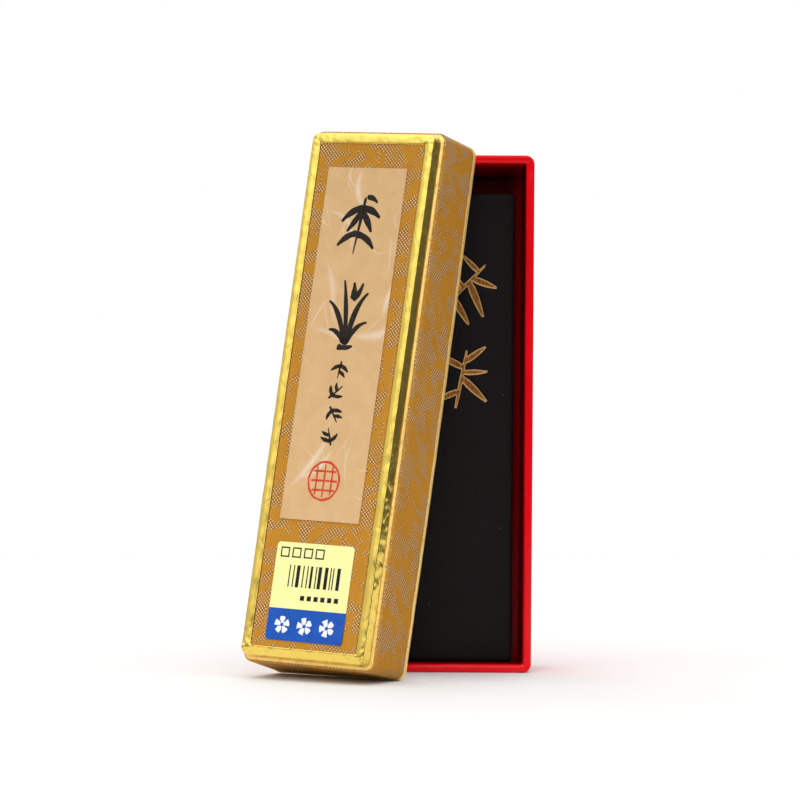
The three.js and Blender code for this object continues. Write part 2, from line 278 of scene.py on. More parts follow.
def pressed_ink():
    """Hard soot black ink, moulded, dried and lightly polished."""
    s = Surface("pressed_ink")
    place = s.place()
    cloud = s.noise(place, 7.0, 5.0, 0.6)
    grain = s.noise(place, 0.22, 4.0, 0.7)
    dust = s.remap(s.cells(place, 2.7), 0.075, 0.05)
    tone = s.blend(cloud, (0.0050, 0.0040, 0.0043), (0.0085, 0.0066, 0.0070))
    dusty = s.times(dust, s.remap(s.noise(place, 5.0, 1.0), 0.55, 0.62, 0.0, 0.3))
    dull = s.blend(dusty, tone, (0.16, 0.14, 0.13))
    colour = s.blend(s.rubbed(grain, 0.4, 0.7, 0.9, 0.1), dull, (0.030, 0.026, 0.025))
    relief = s.plus(cloud, s.times(grain, 0.25))
    return s.finish(Base_Color=colour, Roughness=s.remap(cloud, 0.3, 0.7, 0.48, 0.66),
                    Specular_IOR_Level=0.12, Normal=s.bump(relief, 0.03))


def gilt():
    """Gold paint brushed into the engraving, heaped at its edges and thin in the middle. The pale edges are
    partly the heaped paint and partly a painted highlight.
    """
    s = Surface("gilt")
    place = s.place()
    streaks = s.noise(s.stretched(place, (1.0, 1.0, 0.5)), 0.45, 4.0, 0.6)
    edge = s.painted("edge")
    thin = s.blend(s.remap(streaks, 0.35, 0.65), (0.13, 0.042, 0.007), (0.40, 0.165, 0.030))
    # Painted highlight: where the paint is heaped, the colour is paled and made less metallic to stand for the
    # glint on its edges.
    heaped_edge_highlight = s.times(edge, s.remap(streaks, 0.2, 0.6, 0.6, 1.0))
    colour = s.blend(heaped_edge_highlight, thin, (0.95, 0.56, 0.17))
    return s.finish(Base_Color=colour, Metallic=s.remap(edge, 0, 1, 0.5, 0.1),
                    Roughness=s.remap(streaks, 0.3, 0.7, 0.3, 0.5), Normal=s.bump(streaks, 0.06))


def washi():
    """Tan handmade paper with long white fibres, small flecks of bark and a soft tooth."""
    s = Surface("washi")
    flat = s.flat()
    mottle = s.noise(flat, 4.0, 5.0, 0.6)
    tooth = s.noise(flat, 0.18, 4.0, 0.7)
    flecks = s.remap(s.cells(flat, 1.9), 0.085, 0.05)
    flecks = s.times(flecks, s.remap(s.noise(flat, 2.3, 1.0), 0.5, 0.6, 0.0, 0.45))
    paper = s.blend(s.remap(mottle, 0.3, 0.7), (0.66, 0.415, 0.195), (0.73, 0.475, 0.24))
    flecked = s.blend(flecks, paper, (0.36, 0.19, 0.08))
    fibres = s.times(s.painted("fibre"), s.remap(tooth, 0.25, 0.6, 0.65, 1.0))
    colour = s.blend(fibres, flecked, (0.90, 0.80, 0.68))
    relief = s.plus(s.times(tooth, 0.6), s.painted("fibre"))
    return s.finish(Base_Color=colour, Roughness=s.remap(mottle, 0.3, 0.7, 0.78, 0.9),
                    Specular_IOR_Level=0.15, Normal=s.bump(relief, 0.02))


def printed_paper(name, dark, light, roughness, size=1.4):
    """Smooth printed or plain paper whose ink lies a little unevenly."""
    s = Surface(name)
    place = s.place()
    lay = s.noise(place, size, 4.0, 0.6)
    tooth = s.noise(place, 0.16, 3.0)
    colour = s.blend(s.remap(lay, 0.35, 0.65), dark, light)
    relief = s.plus(lay, s.times(tooth, 0.3))
    return s.finish(Base_Color=colour, Roughness=s.remap(lay, 0.3, 0.7, roughness - 0.06, roughness + 0.06),
                    Specular_IOR_Level=0.12, Normal=s.bump(relief, 0.012))


def sticker_paper(split):
    """Coated label paper: pale yellow above the split and blue below it."""
    s = Surface("sticker_paper")
    flat = s.flat()
    lay = s.noise(flat, 2.2, 4.0, 0.6)
    yellow = s.blend(s.remap(lay, 0.35, 0.65), (0.93, 0.90, 0.36), (0.96, 0.93, 0.42))
    blue = s.blend(s.remap(lay, 0.35, 0.65), (0.007, 0.080, 0.42), (0.010, 0.095, 0.48))
    height = s.add("SeparateXYZ", {0: flat}).outputs["Y"]
    ragged = s.plus(height, s.remap(s.noise(flat, 0.12, 2.0), 0, 1, -0.03, 0.03))
    colour = s.blend(s.remap(ragged, split - 0.03, split + 0.03), blue, yellow)
    return s.finish(Base_Color=colour, Roughness=s.remap(lay, 0.3, 0.7, 0.3, 0.42),
                    Specular_IOR_Level=0.2, Normal=s.bump(s.noise(flat, 3.0, 3.0), 0.02))


def grey_board():
    """Recycled board: grey, with paler and darker fibres lying every way."""
    s = Surface("grey_board")
    place = s.place()
    pulp = s.noise(place, 0.9, 6.0, 0.7)
    strands = s.noise(s.stretched(place, (1.0, 0.3, 1.0)), 0.25, 3.0, 0.5, 1.5)
    colour = s.blend(s.remap(pulp, 0.3, 0.7), (0.19, 0.175, 0.15), (0.33, 0.31, 0.27))
    colour = s.blend(s.remap(strands, 0.55, 0.7, 0.0, 0.5), colour, (0.47, 0.44, 0.38))
    return s.finish(Base_Color=colour, Roughness=s.remap(pulp, 0.3, 0.7, 0.88, 0.98),
                    Normal=s.bump(pulp, 0.05))


BROCADE = brocade()
FOIL = gold_foil("gold_foil", 0.09, 0.10, 1.0, (0.84, 0.60, 0.11), (0.90, 0.67, 0.15))
SATIN_FOIL = gold_foil("satin_gold_foil", 0.06, 0.28, 0.6, (0.95, 0.60, 0.15), (0.98, 0.69, 0.22))
RIM_FOIL = gold_foil("rim_gold_foil", 0.06, 0.28, 0.4, (0.98, 0.70, 0.22), (1.0, 0.78, 0.30))
RED_PAPER = red_paper("red_paper", 0.2, (0.12, 0.0005, 0.002))
# The lining's deep colour is the painted shade on the tray's floor.
SHADED_RED_LINING_PAPER = red_paper("red_lining_paper", 0.05, (0.24, 0.0010, 0.004))
INK = pressed_ink()
GILT = gilt()
WASHI = washi()
BOARD = grey_board()
LINING = printed_paper("white_paper", (0.70, 0.67, 0.60), (0.78, 0.75, 0.69), 0.85, 5.0)
BRUSH_INK = printed_paper("brush_ink", (0.012, 0.009, 0.008), (0.035, 0.026, 0.021), 0.6, 0.6)
SEAL_INK = printed_paper("seal_ink", (0.56, 0.045, 0.02), (0.72, 0.10, 0.045), 0.7, 0.35)
PRINT_BLACK = printed_paper("print_black", (0.010, 0.010, 0.012), (0.025, 0.024, 0.024), 0.45)
PRINT_WHITE = printed_paper("print_white", (0.84, 0.86, 0.88), (0.92, 0.93, 0.93), 0.4)


# ---- Shapes ----

# How far from a rounded edge it is worn.
EDGE_WEAR_WIDTH = 0.45


def outline(size, inset, radius, steps, corner_steps):
    """A rounded rectangle from (0, 0) to size, drawn in by inset: its points, and the outward direction at
    each. It runs from the middle of the right foot corner up the right side and round."""
    low = np.array(inset) + radius
    high = np.array(size) - low
    centres = np.array([(high[0], low[1]), high, (low[0], high[1]), low])
    points = []
    outward = []
    for number, centre in enumerate(centres):
        angles = np.linspace(number - 1, number, corner_steps + 1) * math.pi / 2
        directions = np.stack([np.cos(angles), np.sin(angles)], axis=1)
        start = centre + radius * directions[-1]
        end = centres[(number + 1) % 4] + radius * directions[-1]
        shares = np.linspace(0, 1, steps[(number + 1) % 2] + 1)[1:-1, None]
        points += [centre + radius * directions, start + (end - start) * shares]
        outward += [directions, np.repeat(directions[-1:], len(shares), axis=0)]
    middle = -(corner_steps // 2)
    return [np.roll(np.concatenate(part), middle, axis=0) for part in (points, outward)]


def straight(start, end, step):
    """The points of a straight path, apart from its start."""
    count = max(1, round(float(np.linalg.norm(end - start)) / step))
    return [start + (end - start) * number / count for number in range(1, count + 1)]


def curve(start, bend, end, share):
    """Where a curve from start to end, drawn towards bend, is after a share of its way."""
    return (1 - share) ** 2 * start + 2 * share * (1 - share) * bend + share ** 2 * end


def rounded_path(corners, step, arc_steps=6):
    """A path through corners, each given by where it is across and deep, and how much it is rounded. Returns
    the path's points, and how near each one is to a rounded corner."""
    places = [np.array(corner[:2], float) for corner in corners]
    points = [places[0]]
    edges = []
    for before, place, after, corner in zip(places, places[1:], places[2:], corners[1:]):
        rounding = corner[2]
        entry = place + rounding * (before - place) / np.linalg.norm(before - place)
        leave = place + rounding * (after - place) / np.linalg.norm(after - place)
        points += straight(points[-1], entry, step)
        if rounding > 0:
            shares = np.linspace(0, 1, arc_steps + 1)[1:]
            points += list(curve(entry, place, leave, shares[:, None]))
            edges.append(place)
    points += straight(points[-1], places[-1], step)
    points = np.array(points)
    distances = np.array([np.linalg.norm(points - edge, axis=1) for edge in edges])
    return points, np.exp(-(distances.min(axis=0) / EDGE_WEAR_WIDTH) ** 2)


def grid_faces(rows, columns, round_rows, round_columns):
    """Four-sided faces over a grid of points that may close on itself either way."""
    row, column = np.meshgrid(np.arange(rows - (not round_rows)), np.arange(columns - (not round_columns)),
                              indexing="ij")
    next_row = (row + 1) % rows
    next_column = (column + 1) % columns
    corners = [row * columns + column, row * columns + next_column,
               next_row * columns + next_column, next_row * columns + column]
    return np.stack([corner.ravel() for corner in corners], axis=1).tolist()


def unevenness(points, size, seed=0.0):
    """Smooth noise from about -1 to 1 at each point, with swells about as wide as size."""
    shift = Vector((seed, 2.7 * seed, -seed))
    return np.array([noise.noise(Vector(point) / size + shift) for point in points])


def ripple(points, low, high):
    """0 below low, 1 above high and an easy slope between. If low is the larger, it runs the other way."""
    share = np.clip((points - low) / (high - low), 0, 1)
    return share * share * (3 - 2 * share)


class Skin:
    """A closed sheet drawn round a rounded rectangle: its section is a path of (inset, depth) points."""

    def __init__(self, size, corners, radii, step=1.0, spacing=1.0, corner_steps=12, narrowing=1.0):
        """radii gives the rectangle's corner radius at some insets, and narrowing the share of an inset that
        counts upwards instead of across."""
        path, near_edge = rounded_path(corners, step)
        lengths = np.concatenate([[0], np.cumsum(np.linalg.norm(np.diff(path, axis=0), axis=1))])
        self.steps = [max(2, round(length / spacing)) for length in size]
        self.corner_steps = corner_steps
        _, outward = outline(size, (0, 0), radii[1][0], self.steps, corner_steps)
        rings = []
        flats = []
        for (inset, depth), length in zip(path, lengths):
            radius = min(float(np.interp(inset, *radii)), min(size) / 2 - inset)
            ring, _ = outline(size, (inset, inset * narrowing), radius, self.steps, corner_steps)
            rings.append(np.insert(ring, 1, depth, axis=1))
            flats.append(np.insert(ring + outward * (length - corners[0][0] + inset), 2, 0, axis=1))
        self.points = np.concatenate(rings)
        self.flat = np.concatenate(flats)
        self.across = np.repeat(path[:, 0], len(outward))
        self.rows, self.columns = len(path), len(outward)
        at_corner = np.abs(outward[:, 0] * outward[:, 1]) * 2
        self.wear = np.maximum(near_edge[:, None], 0.8 * at_corner[None, :] ** 2).ravel()

    def shell(self):
        """Faces of a sheet whose path starts and ends at the middle."""
        faces = grid_faces(self.rows, self.columns, False, True)
        last = (self.rows - 1) * self.columns
        return faces + [list(range(self.columns)), list(range(last, last + self.columns))]


def closed_skin(size, corners, radii, step=1.0, spacing=1.0, half_strip=0.5):
    """A skin whose path starts and ends at a thin strip along the rectangle's middle, which closes it."""
    middle = size[0] / 2 - half_strip
    path = [(middle, corners[0][1], 0), *corners, (middle, corners[-1][1], 0)]
    return Skin(size, path, radii, step, spacing)


def flat_sheet(low, high, face, rounding, radii, step=1.0, half_strip=0.5):
    """A flat sheet that fills a box, rounded at the edge of its face, which is the box's lowest or highest
    depth. Returns its skin, and its points in place."""
    back = low[1] + high[1] - face
    size = (high[0] - low[0], high[2] - low[2])
    skin = closed_skin(size, [(0, face, rounding), (0, back, 0)], radii, step, step, half_strip)
    return skin, skin.points + [low[0], 0, low[2]]


def from_edges(points, low, high):
    """How far each point is from the nearer side, and from the nearer end, of a box."""
    return np.minimum(points - low, high - points)[:, [0, 2]].T


def add_object(name, data):
    """A new object in the scene."""
    thing = bpy.data.objects.new(name, data)
    bpy.context.scene.collection.objects.link(thing)
    return thing


def add_piece(name, points, faces, material, body, slot, stands_for=(), painted=None, crease=55):
    """Adds a closed mesh, given in millimetres in its body's frame. painted holds numbers or vectors for the
    material, one for each point, and crease is the angle in degrees above which an edge is sharp."""
    mesh = bpy.data.meshes.new(name)
    mesh.from_pydata((np.asarray(points) * MM).tolist(), [], faces)
    shape = bmesh.new()
    shape.from_mesh(mesh)
    bmesh.ops.recalc_face_normals(shape, faces=shape.faces)
    shape.to_mesh(mesh)
    shape.free()
    mesh.shade_smooth()
    mesh.set_sharp_from_angle(angle=math.radians(crease))
    for attribute, values in (painted or {}).items():
        kind, field = ("FLOAT", "value") if values.ndim == 1 else ("FLOAT_VECTOR", "vector")
        layer = mesh.attributes.new(attribute, kind, "POINT")
        layer.data.foreach_set(field, values.astype(np.float32).ravel())
    mesh.materials.append(material)
    piece = add_object(name, mesh)
    piece.matrix_world = PLACES[body]
    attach(piece, body)
    if stands_for:
        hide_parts(*stands_for)


# ---- Tray ----

PAPER = 0.25
LAP_HEIGHT = 0.11
DRAWN_IN_AT_SIDES = 0.6
DRAWN_IN_AT_HEAD = 2.6


def lap_corners(points):
    """On the tray's rim the paper is mitred at each corner, where one end of it laps over the other."""
    width, depth, height = TRAY_SIZE
    on_rim = ripple(points[:, 1], depth - 0.9, depth - 0.2)
    for across, up in ((0, 0), (1, 0), (0, 1), (1, 1)):
        from_side = np.abs(points[:, 0] - across * width)
        from_end = np.abs(points[:, 2] - up * height)
        near = ripple(from_side + from_end, 6.5, 3.5)
        lap = ripple(from_side - from_end, -0.12, 0.12)
        points[:, 1] += LAP_HEIGHT * (lap - 1) * near * on_rim
    points[:, 1] += 0.05 * unevenness(points, 14.0) * on_rim


def tray_paper():
    """Red paper over the tray's outside, round the rim and down its inner walls, where its colour darkens
    with depth as painted shade. Deep in the hollow the glue has drawn it across the corners."""
    low, high = tray_box("tray_floor_lining")
    # The inner walls stand just clear of the floor sheet's edges, and end just behind its face.
    wall = low[0] - 0.03
    floor = high[1] - 0.15
    width, depth, height = TRAY_SIZE
    corners = [(0, 0, 0.5), (0, depth, 0.4), (wall, depth, 0.75), (wall, floor, 0), (wall - PAPER, floor, 0),
               (wall - PAPER, depth - PAPER, 0.1), (PAPER, depth - PAPER, 0.1), (PAPER, PAPER, 0.1)]
    skin = closed_skin((width, height), corners, ([0, wall], [1.8, 0.6]))
    points = skin.points
    lap_corners(points)
    from_side, from_end = from_edges(points, 0, TRAY_SIZE)
    below_rim = depth - points[:, 1]
    in_hollow = points[:, 1] > floor - 0.05
    # Painted shade: the inside number darkens the inner walls from the rim downwards.
    inside = ripple(np.minimum(from_side, from_end), wall - 1.1, wall) * ripple(below_rim, 0.1, 6.0)
    drawn_in = in_hollow * (skin.across > wall - PAPER - 0.05) * ripple(below_rim, 1.0, 14.0)
    at_side = (from_side < wall + 0.1) * np.sign(width / 2 - points[:, 0])
    at_head = height - points[:, 2] < wall + 0.1
    points[:, 0] += DRAWN_IN_AT_SIDES * drawn_in * at_side
    points[:, 2] -= DRAWN_IN_AT_HEAD * drawn_in * at_head
    add_piece("tray_paper", points, skin.shell(), RED_PAPER, "tray", "red_paper", ["tray_red_wrap"],
              {"wear": skin.wear, "inside": in_hollow * inside})


def tray_floor_paper():
    """The red sheet glued into the bottom of the tray, with painted shade that darkens it towards its middle.
    """
    low, high = tray_box("tray_floor_lining")
    skin, points = flat_sheet(low, high, high[1], 0.06, ([0, 1], [0.6, 0.5]))
    points[:, 1] += 0.03 * (1 + unevenness(points, 9.0)) * ripple(points[:, 1], low[1] + 0.1, high[1])
    # Painted shade: the inside number grows from the sheet's edges inwards.
    inside = ripple(from_edges(points, low, high).min(axis=0), -0.3, 2.6)
    add_piece("tray_floor_paper", points, skin.shell(), SHADED_RED_LINING_PAPER, "tray", "red_paper",
              ["tray_floor_lining"], {"inside": inside})


# ---- Ink stick ----

def evenly_meshed(name, voxel, smoothing):
    """A fine, even copy of a CAD node with its sharp edges eased. Returns its points in millimetres, the
    normals there and its faces."""
    worker = add_object("worker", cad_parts[name].data.copy())
    remesh = worker.modifiers.new("even", "REMESH")
    remesh.mode = "VOXEL"
    remesh.voxel_size = voxel * MM
    smooth = worker.modifiers.new("ease", "SMOOTH")
    smooth.iterations = smoothing
    graph = bpy.context.evaluated_depsgraph_get()
    mesh = bpy.data.meshes.new_from_object(worker.evaluated_get(graph))
    points = np.array([vertex.co for vertex in mesh.vertices]) / MM
    normals = np.array([vertex.normal for vertex in mesh.vertices])
    faces = [list(polygon.vertices) for polygon in mesh.polygons]
    bpy.data.objects.remove(worker)
    return points, normals, faces


def stick_body():
    """The stick as it came from its mould: edges eased, faces a little uneven, the engraving's edges soft."""
    points, normals, faces = evenly_meshed("ink_stick", 0.27, 2)
    low, high = cad_box("ink_stick")
    swell = 0.03 * unevenness(points, 8.0) + 0.012 * unevenness(points, 1.1)
    points = points + normals * swell[:, None]
    from_edge = np.sort(np.minimum(points - low, high - points), axis=1)[:, 1]
    add_piece("stick_body", points, faces, INK, "stick", "ink", ["ink_stick"],
              {"wear": np.exp(-(from_edge / 0.5) ** 2)})


def gilt_mark(name, node):
    """Gold paint in one engraved sprig, lumpy and heaped at the edges of each stroke."""
    points, normals, faces = evenly_meshed(node, 0.07, 2)
    face = points[:, 1].min()
    on_face = points[:, 1] < face + 0.06
    on_side = np.abs(normals[:, 1]) < 0.5
    sides = kdtree.KDTree(int(on_side.sum()))
    for number, point in enumerate(points[on_side]):
        sides.insert(Vector(point), number)
    sides.balance()
    to_edge = np.array([sides.find(Vector(point))[2] for point in points])
    # The edge number also places the gilt's painted highlight.
    edge = np.exp(-(to_edge / 0.2) ** 2)
    points[:, 1] -= on_face * (0.12 * edge - 0.05 + 0.04 * unevenness(points, 0.9))
    add_piece(name, points, faces, GILT, "stick", "gilt", [node], {"edge": edge})


# ---- Lid ----

LID_BOW = 0.25
LID_SKEW = 0.82
CLOTH = 0.2
FOIL_THICKNESS = 0.12
LINING_THICKNESS = 0.12
RIM_FOIL_REACH = 1.3
LEDGE_LIFT_AT_FOOT = 0.17
FOOT_SLOPE = 0.55
MOULDING_WIDTH = lid_box("gold_moulding_left")[1][0] - lid_box("gold_moulding_left")[0][0]


def bowed(points):
    """The lid's long walls bow outwards half way up, most of all at the rim. Its foot wall is a little out
    of square, so that the lid stands on the whole edge of its rim."""
    moved = np.array(points, float)
    width, depth, height = LID_SIZE
    across = (moved[:, 0] - width / 2) / (width / 2)
    long_wall = np.sign(across) * ripple(np.abs(across), 0.8, 0.9)
    foot_wall = ripple(moved[:, 2], 3.0, 1.5)
    rise = np.clip(moved[:, 1] / depth, 0, 1)
    moved[:, 2] -= LID_SKEW * foot_wall * rise * (1 - np.clip(moved[:, 0] / width, 0, 1))
    moved[:, 0] += LID_BOW * long_wall * rise * np.sin(np.pi * np.clip(moved[:, 2] / height, 0, 1))
    return moved


def push_long_walls(points, amount, reach):
    """Moves the points within reach of the lid's long sides outwards by an amount."""
    half = LID_SIZE[0] / 2
    from_middle = points[:, 0] - half
    points[:, 0] += np.sign(from_middle) * amount * (np.abs(from_middle) > half - reach)


def lid_brocade():
    """Brocade glued over the lid, from its closed face down the walls. It is pressed thin under the foil."""
    rim = lid_box("lid_brocade_wrap")[1][1]
    under_foil = LID_SIZE[1] - RIM_FOIL_REACH + 0.25
    pressed_in = 0.14
    corners = [(0, 0, 0.4), (0, under_foil, 0), (pressed_in, under_foil + 0.1, 0), (pressed_in, rim, 0),
               (CLOTH, rim, 0), (CLOTH, CLOTH, 0.2)]
    skin = closed_skin(LID_FACE, corners, ([0, 1.3], [2.0, 1.0]))
    points = bowed(skin.points)
    walls = ripple(points[:, 1], 0.4, 2.0) * ripple(points[:, 1], LID_SIZE[1], LID_SIZE[1] - 2.0)
    swell = 0.05 * (unevenness(points, 11.0) + 0.4 * unevenness(points, 3.0, 5.0)) * walls
    push_long_walls(points, swell, 1.0)
    add_piece("lid_brocade", points, skin.shell(), BROCADE, "lid", "brocade", ["lid_brocade_wrap"],
              {"flat": skin.flat, "wear": skin.wear})


def rim_foil():
    """The strip of gold paper folded over the lid's rim. Its outer edge was cut by hand, so it wavers."""
    low, high = lid_box("lid_rim_foil")
    outer = -0.1
    inner = lid_box("lid_lining")[0][0] + 0.1
    edge = high[1] - RIM_FOIL_REACH
    start = (0.1, edge, 0)
    corners = [start, (outer, edge, 0.1), (outer, high[1], 0.6), (inner, high[1], 0.5), (inner, low[1], 0),
               (inner - FOIL_THICKNESS, low[1], 0), (inner - FOIL_THICKNESS, high[1] - FOIL_THICKNESS, 0.1),
               (outer + FOIL_THICKNESS, high[1] - FOIL_THICKNESS, 0.5),
               (outer + FOIL_THICKNESS, edge + FOIL_THICKNESS, 0), (0.1, edge + FOIL_THICKNESS, 0), start]
    skin = Skin(LID_FACE, corners, ([0, 1.3], [2.0, 0.6]), step=0.35, spacing=0.7)
    points = skin.points
    on_rim = points * [1, 0, 1]
    waver = 0.16 * unevenness(on_rim, 6.0) + 0.12 * unevenness(on_rim, 1.6)
    points[:, 1] -= np.clip((LID_SIZE[1] - points[:, 1]) / RIM_FOIL_REACH, 0, 1) * waver
    points = bowed(points)
    on_walls = points[:, 1] < LID_SIZE[1] - 0.3
    push_long_walls(points, 0.03 * unevenness(points, 1.6, 3.0) * on_walls, 2.0)
    # The path ends where it starts, so its last row is left out and the faces join up instead.
    rows = skin.rows - 1
    count = rows * skin.columns
    add_piece("rim_foil", points[:count], grid_faces(rows, skin.columns, True, True), RIM_FOIL, "lid",
              "gold_foil", ["lid_rim_foil"], {"wear": skin.wear[:count]})


def lid_lining():
    """White paper over the inside of the lid."""
    low, high = lid_box("lid_lining")
    outer = low[0]
    inner = outer + LINING_THICKNESS
    face = low[1] + LINING_THICKNESS
    corners = [(inner, face, 0.5), (inner, high[1], 0), (outer, high[1], 0), (outer, low[1], 0.4)]
    skin = closed_skin(LID_FACE, corners, ([0, 1.3], [2.0, 0.7]))
    add_piece("lid_inner_paper", bowed(skin.points), skin.shell(), LINING, "lid", "white_paper",
              ["lid_lining"])


def bowed_board(name, node, along, pieces):
    """A wall's board, cut into short pieces along one of the lid's axes and bent as the wall is."""
    shape = bmesh.new()
    shape.from_mesh(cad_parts[node].data)
    bmesh.ops.remove_doubles(shape, verts=shape.verts, dist=0.001 * MM)
    for number in range(1, pieces):
        cut = Vector((0, 0, 0))
        cut[along] = LID_SIZE[along] * number / pieces
        geometry = list(shape.verts) + list(shape.edges) + list(shape.faces)
        bmesh.ops.bisect_plane(shape, geom=geometry, plane_co=LID_PLACE @ (cut * MM),
                               plane_no=Vector(LID_AXES[along]), dist=0.01 * MM)
    shape.verts.index_update()
    to_lid = LID_PLACE.inverted()
    points = np.array([to_lid @ vertex.co for vertex in shape.verts]) / MM
    faces = [[vertex.index for vertex in face.verts] for face in shape.faces]
    shape.free()
    add_piece(name, bowed(points), faces, BOARD, "lid", "grey_board", [node], crease=30)


def backing_sheet():
    """The gold covered card under the raised panel. Its edge shows all round as a bright ledge, which slopes
    less at the foot."""
    low, high = lid_box("gold_backing_sheet")
    size = (high[0] - low[0], high[2] - low[2])
    ledge = lid_box("gold_moulding_left")[0][0] - low[0]
    corners = [(ledge, low[1], 0.1), (0, high[1] - 0.08, 0.06), (0, high[1], 0)]
    skin = closed_skin(size, corners, ([0, 1.3], [1.7, 0.9]), step=0.8, spacing=0.6)
    points = skin.points + [low[0], 0, low[2]]
    exposed = ripple(points[:, 1], high[1], low[1])
    points[:, 1] -= 0.03 * (unevenness(points, 3.5) + 0.5 * unevenness(points, 1.2)) * exposed
    at_foot = ripple(points[:, 2], low[2] + ledge + 0.1, low[2]) * (points[:, 1] < high[1] - 0.02)
    points[:, 1] -= LEDGE_LIFT_AT_FOOT * at_foot * ripple(points[:, 1], low[1], high[1] - 0.1)
    add_piece("backing_sheet", points, skin.shell(), SATIN_FOIL, "lid", "gold_foil",
              ["gold_backing_sheet"], {"wear": skin.wear})


def work_foil(points, share, start, low, high):
    """Shapes the frame's foil. share is how far across its moulding a point is, start how far the frame
    stands in from the lid's sides, and low and high the depths of the frame's face and of its foot."""
    width, _, height = LID_SIZE
    from_side, from_end = from_edges(points, 0, LID_SIZE)
    on_side = ripple(from_end - from_side, -1.0, 1.0)
    near_corner = ripple(np.hypot(from_side - start, from_end - start), 9.0, 1.5)
    # The strips under it are a little rounder than flat, and the foot one slopes down towards the outside.
    crown = 0.04 + 0.11 * on_side
    points[:, 1] += crown * (2 * share - 1) ** 2 * ripple(points[:, 1], high - 0.5, low + 0.5)
    at_foot = (1 - on_side) * (points[:, 2] < height / 2)
    points[:, 1] += FOOT_SLOPE * (1 - share) * at_foot * ripple(points[:, 1], high - 0.1, low + 0.6)
    # The outer wall is dented, so the frame's edge wavers.
    dented_in = 0.05 * unevenness(points, 2.2, 21.0) + 0.03 * unevenness(points, 0.9, 13.0)
    dented_in *= ripple(share * MOULDING_WIDTH, 0.6, 0.2) * ripple(points[:, 1], high - 0.1, high - 0.6)
    points[:, 0] += dented_in * on_side * np.sign(width / 2 - points[:, 0])
    points[:, 2] += dented_in * (1 - on_side) * np.sign(height / 2 - points[:, 2])
    # The face has dents, and the foil gathers into small pleats at the corners.
    dents = 0.05 * unevenness(points, 4.5) + 0.03 * unevenness(points, 1.7, 9.0)
    pleats = 0.07 * unevenness(points, 0.8, 4.0) * near_corner
    points[:, 1] += (dents + pleats - 0.02) * ripple(points[:, 1], high - 0.1, low + 0.9)


def gold_frame():
    """The foil covered frame, drawn in one piece round the lid's face and cut into its four mouldings."""
    start, low, _ = lid_box("gold_moulding_left")[0]
    high = lid_box("gold_moulding_left")[1][1]
    end_low, end_high = lid_box("gold_moulding_head")
    corners = [(0.4, high, 0), (0, high, 0.1), (0.3, low, 0.2), (MOULDING_WIDTH, low, 0.25),
               (MOULDING_WIDTH, high, 0.1), (0.4, high, 0)]
    skin = Skin(LID_FACE - 2 * start, corners, ([0, MOULDING_WIDTH], [1.55, 0.3]), step=0.14, spacing=0.35,
                corner_steps=16, narrowing=(end_high[2] - end_low[2]) / MOULDING_WIDTH)
    points = skin.points + [start, 0, start]
    work_foil(points, skin.across / MOULDING_WIDTH, start, low, high)
    # The path ends where it starts, so its last row is left out.
    rows = skin.rows - 1
    grid = points.reshape(skin.rows, skin.columns, 3)[:rows]
    wear = 0.7 * skin.wear.reshape(skin.rows, skin.columns)[:rows]
    first = 0
    for side, steps in (("right", skin.steps[1]), ("head", skin.steps[0]),
                        ("left", skin.steps[1]), ("foot", skin.steps[0])):
        last = first + steps + skin.corner_steps
        columns = np.arange(first, last + 1) % skin.columns
        moulding(side, grid[:, columns], wear[:, columns])
        first = last


def moulding(side, strip, wear):
    """One moulding. Each end stands back a little from the mitre, so that the joint shows as a fine line."""
    strip = strip.copy()
    for end, neighbour in ((0, 1), (-1, -2)):
        strip[:, end] += 0.2 * (strip[:, neighbour] - strip[:, end])
    rows, width = wear.shape
    faces = grid_faces(rows, width, True, False)
    faces.append([row * width for row in range(rows)])
    faces.append([row * width + width - 1 for row in range(rows)])
    add_piece(f"moulding_{side}", strip.reshape(-1, 3), faces, FOIL, "lid", "gold_foil",
              [f"gold_moulding_{side}"], {"wear": wear.ravel()})


def panel_brocade():
    """The brocade field inside the gold frame. Its pattern runs on another part of the cloth."""
    low, high = lid_box("raised_panel_brocade")
    skin, points = flat_sheet(low, high, low[1], 0.08, ([0, 1.0], [0.3, 0.3]))
    points[:, 1] += 0.012 * (1 + unevenness(points, 6.0))
    flat = skin.flat * [-1, 1, 1] + [12.0, 33.0, 0]
    add_piece("panel_brocade", points, skin.shell(), BROCADE, "lid", "brocade", ["raised_panel_brocade"],
              {"flat": flat, "wear": 0.5 * skin.wear})


# ---- Title label ----

SEAL_WIDTH_SHARE = 0.92
FIBRES = 46
BROAD_FIBRES = 9

# The broad and the fine fibres' lengths, half widths and strengths, each from least to most.
BROAD = ((9, 17), (0.35, 0.95), (0.35, 0.65))
FINE = ((4, 13), (0.07, 0.16), (0.3, 0.65))


def fibre_paths(width, height):
    """Long curved fibres in the label's paper: a few broad ones and many fine ones."""
    draw = random.Random(7)
    paths = []
    for number in range(FIBRES):
        lengths, half_widths, strengths = BROAD if number < BROAD_FIBRES else FINE
        length = draw.uniform(*lengths)
        angle = draw.uniform(0.9, 2.3) if number % 3 else draw.uniform(-0.6, 0.9)
        bend = draw.uniform(-0.35, 0.35) * length
        start = np.array([draw.uniform(0, width), draw.uniform(0, height)])
        along = np.array([math.cos(angle), math.sin(angle)]) * length
        bulge = np.array([-along[1], along[0]]) / length * bend
        share = np.linspace(0, 1, 40)[:, None]
        path = start + along * share + bulge * 4 * share * (1 - share)
        paths.append((path, draw.uniform(*half_widths), draw.uniform(*strengths)))
    return paths


